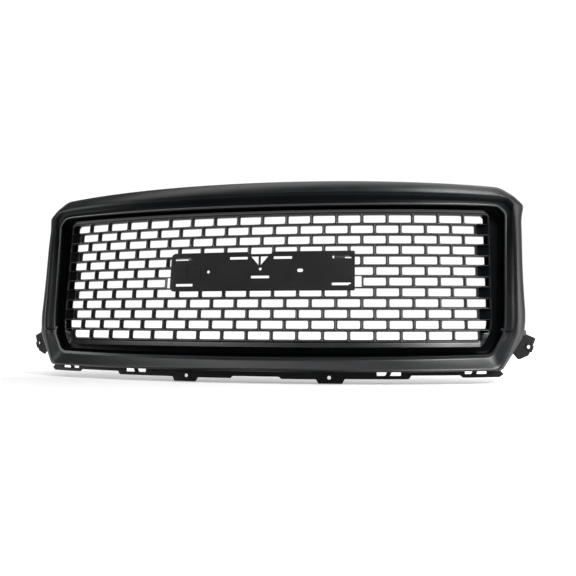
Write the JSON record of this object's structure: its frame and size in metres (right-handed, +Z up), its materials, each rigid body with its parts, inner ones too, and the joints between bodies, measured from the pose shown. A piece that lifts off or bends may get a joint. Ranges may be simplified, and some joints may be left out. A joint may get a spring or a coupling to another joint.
{
  "type": "front grille",
  "caption": "Wide swept vehicle front grille: satin black moulded surround, brick-pattern mesh insert, blank badge plate, lower mounting rail and side tabs.",
  "frame": {"origin": "midway between the two lower mounting holes, in the thickness of the lower rail's front wall", "axes": "+X to the viewer's right across the vehicle, +Y to the rear, +Z up; the face looks towards -Y"},
  "size_m": [1.2, 0.218, 0.449],
  "materials": {
    "shell_plastic": "satin black moulded",
    "mesh_plastic": "semi-gloss black moulded",
    "plate_plastic": "fine-textured black moulded",
    "rail_plastic": "matt black moulded",
    "bracket_steel": "black e-coat",
    "spring_steel": "zinc plated",
    "screw_steel": "zinc plated",
    "seal_foam": "closed-cell foam"
  },
  "bodies": {
    "root": {"surround_shell": "shell_plastic", "mesh_insert": "mesh_plastic", "badge_plate": "plate_plastic", "badge_spring_clips": "spring_steel", "lower_rail": "rail_plastic", "rail_spring_clips": "rail_plastic", "upper_bracket_left": "bracket_steel", "upper_bracket_centre": "bracket_steel", "upper_bracket_right": "bracket_steel", "upper_clip_nuts": "spring_steel", "side_bracket_left": "rail_plastic", "side_bracket_right": "rail_plastic", "side_clip_nuts": "spring_steel", "insert_screws": "screw_steel", "badge_screws": "screw_steel", "rail_screws": "screw_steel", "upper_bracket_screws": "screw_steel", "side_bracket_screws": "screw_steel", "upper_seal_strip": "seal_foam", "lower_seal_strip": "seal_foam"}
  },
  "joints": []
}
